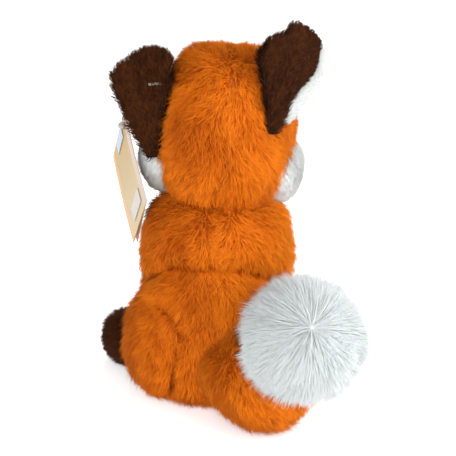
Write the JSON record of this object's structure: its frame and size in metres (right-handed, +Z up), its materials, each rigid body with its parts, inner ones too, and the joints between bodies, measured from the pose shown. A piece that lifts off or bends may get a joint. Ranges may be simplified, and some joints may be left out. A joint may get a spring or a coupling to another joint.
{
  "type": "plush fox",
  "caption": "Seated plush fox with long orange pile, brown-backed ears and paws, pale cheeks and belly, a white ball at the tail tip and a folded card hang tag.",
  "frame": {"origin": "middle of the flat seat under the torso, on the surface that the toy rests on", "axes": "+Z up; the fox faces -Y; its left is +X"},
  "size_m": [0.1605, 0.1877, 0.2301],
  "materials": {
    "orange_pile": "long combed pile, orange",
    "white_pile": "pile, white to cream",
    "brown_pile": "pile, dark brown",
    "fibre_filling": "loose fibre, off-white",
    "gloss_black": "gloss, black",
    "washer_plastic": "satin, natural",
    "tag_card": "coated, yellow-tan fading to cream",
    "tag_paper": "smooth, white",
    "clear_plastic": "smooth, clear to white"
  },
  "bodies": {
    "torso": {"torso_filling": "fibre_filling", "belly_gusset": "white_pile", "torso_panel_left": "orange_pile", "torso_panel_right": "orange_pile"},
    "head": {"head_filling": "fibre_filling", "head_panel_left": "orange_pile", "head_panel_right": "orange_pile", "cheek_left": "white_pile", "cheek_right": "white_pile", "muzzle": "white_pile", "eye_left": "gloss_black", "eye_left_washer": "washer_plastic", "eye_right": "gloss_black", "eye_right_washer": "washer_plastic", "nose": "gloss_black", "nose_washer": "washer_plastic"},
    "ear_left": {"ear_left_back": "brown_pile", "ear_left_lining": "white_pile", "tag_fastener": "clear_plastic"},
    "ear_right": {"ear_right_back": "brown_pile", "ear_right_lining": "white_pile"},
    "tag": {"tag_card": "tag_card", "tag_label": "tag_paper", "tag_sticker": "tag_paper"},
    "arm_left": {"sleeve_left": "orange_pile", "paw_left": "brown_pile", "arm_filling_left": "fibre_filling"},
    "arm_right": {"sleeve_right": "orange_pile", "paw_right": "brown_pile", "arm_filling_right": "fibre_filling"},
    "leg_left": {"haunch_left": "orange_pile", "foot_left": "brown_pile", "leg_filling_left": "fibre_filling"},
    "leg_right": {"haunch_right": "orange_pile", "foot_right": "brown_pile", "leg_filling_right": "fibre_filling"},
    "tail": {"tail_root": "orange_pile", "tail_ball": "white_pile", "tail_filling": "fibre_filling"}
  },
  "joints": [
    {"name": "neck_turn", "type": "hinge", "parent": "torso", "child": "head", "pos_m": [0, 0, 0.111], "axis": [0, 0, 1], "range_deg": [-6, 12], "stiffness_Nm_per_rad": 0.08},
    {"name": "ear_left_fold", "type": "hinge", "parent": "head", "child": "ear_left", "pos_m": [0.0372, 0.00825, 0.1572], "axis": [1, 0, 0], "range_deg": [-8, 10], "stiffness_Nm_per_rad": 0.05},
    {"name": "ear_right_fold", "type": "hinge", "parent": "head", "child": "ear_right", "pos_m": [-0.03273, 0.02786, 0.17639], "axis": [1, 0, 0], "range_deg": [-10, 12], "stiffness_Nm_per_rad": 0.05},
    {"name": "tag_swing", "type": "hinge", "parent": "ear_left", "child": "tag", "pos_m": [0.05937, -0.02453, 0.15992], "axis": [0.3338, -0.9426, 0], "range_deg": [0, 20]},
    {"name": "arm_left_lift", "type": "hinge", "parent": "torso", "child": "arm_left", "pos_m": [0.03117, -0.01297, 0.1015], "axis": [-1, 0, 0], "range_deg": [0, 30], "stiffness_Nm_per_rad": 0.05},
    {"name": "arm_right_lift", "type": "hinge", "parent": "torso", "child": "arm_right", "pos_m": [-0.03117, -0.01297, 0.1015], "axis": [-1, 0, 0], "range_deg": [0, 30], "stiffness_Nm_per_rad": 0.05},
    {"name": "leg_left_spread", "type": "hinge", "parent": "torso", "child": "leg_left", "pos_m": [0.01725, 0.03271, 0.04083], "axis": [0, 0, 1], "range_deg": [-4, 6], "stiffness_Nm_per_rad": 0.08},
    {"name": "leg_right_spread", "type": "hinge", "parent": "torso", "child": "leg_right", "pos_m": [-0.01725, 0.03271, 0.04083], "axis": [0, 0, 1], "range_deg": [-6, 4], "stiffness_Nm_per_rad": 0.08},
    {"name": "tail_sway", "type": "hinge", "parent": "torso", "child": "tail", "pos_m": [-0.00733, 0.04046, 0.02981], "axis": [0, 0, 1], "range_deg": [-10, 8], "stiffness_Nm_per_rad": 0.08}
  ]
}
